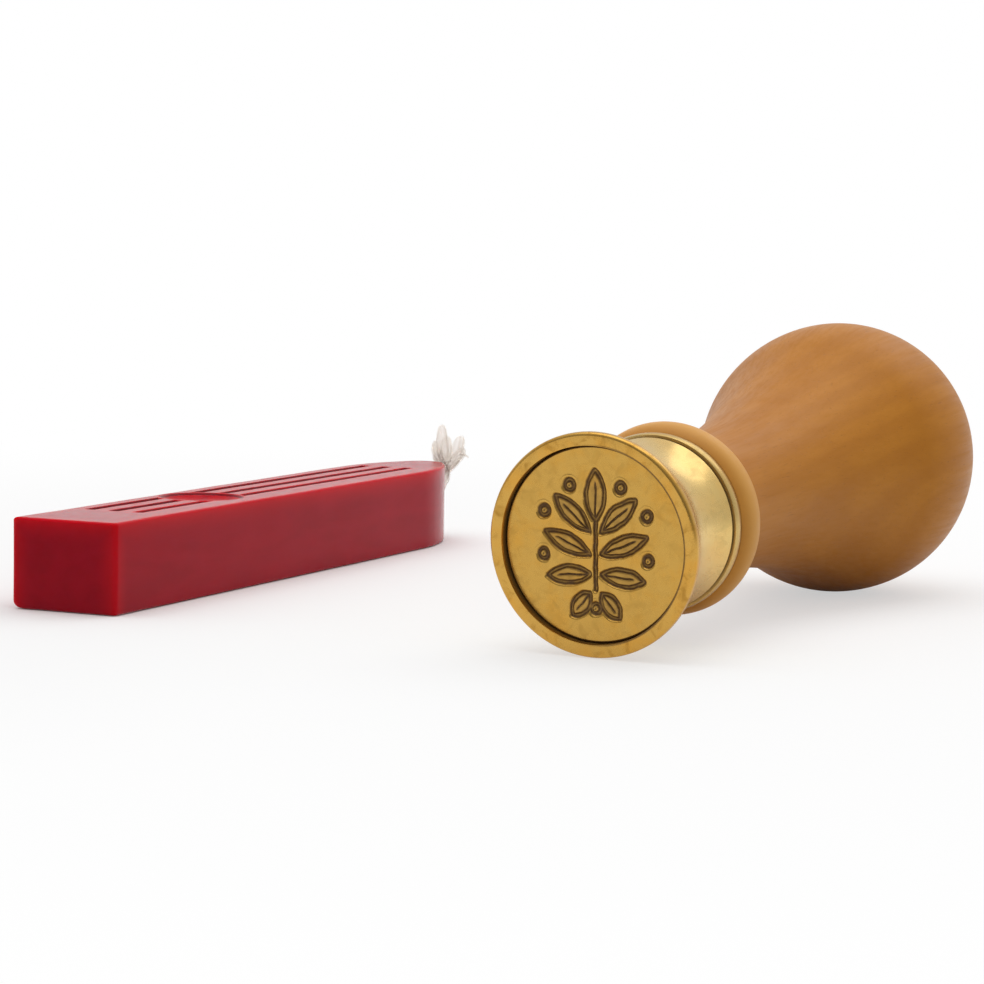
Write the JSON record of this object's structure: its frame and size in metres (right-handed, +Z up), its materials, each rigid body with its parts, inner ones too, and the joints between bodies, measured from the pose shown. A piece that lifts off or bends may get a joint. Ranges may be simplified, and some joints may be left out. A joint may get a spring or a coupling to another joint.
{
  "type": "sealing wax set",
  "caption": "Fluted red sealing-wax stick with a frayed wick, beside a brass seal stamp whose engraved coin unscrews from a turned wooden bulb handle.",
  "frame": {"origin": "on the table under the middle of the set's box", "axes": "+Y along the wax stick from its butt to its wick, +X from the stick towards the stamp, +Z up from the table"},
  "size_m": [0.082, 0.0924, 0.0291],
  "materials": {
    "wood": "satin lacquer on light brown turned hardwood",
    "polished_brass": "polished pale brass with fine turning lines",
    "plain_brass": "machined brass",
    "golden_brass": "golden lacquered brass with brown patina in the engraving",
    "wax": "slightly translucent red sealing wax",
    "cotton": "unbleached frayed cotton"
  },
  "bodies": {
    "stamp": {"handle": "wood", "ferrule": "polished_brass", "threaded_insert": "plain_brass"},
    "cup": {"seal_cup": "golden_brass"},
    "coin": {"seal_coin": "golden_brass", "coin_stud": "plain_brass"},
    "stick": {"wax_body": "wax", "wick": "cotton"}
  },
  "joints": [
    {"name": "cup_slide", "type": "slide", "parent": "stamp", "child": "cup", "axis": [-0.054, -0.9964, -0.066], "range_m": [0, 0.0064]},
    {"name": "coin_turn", "type": "hinge", "parent": "cup", "child": "coin", "pos_m": [0.02305, -0.04534, 0.01045], "axis": [-0.054, -0.9964, -0.066], "range_deg": [0, 2880]},
    {"name": "stick_lift", "type": "slide", "parent": "stamp", "child": "stick", "axis": [0, 0, 1], "range_m": [0, 0.06]}
  ],
  "couplings": [
    {"joint": "cup_slide", "follows": "coin_turn", "m_per_rad": 0.00012732}
  ]
}
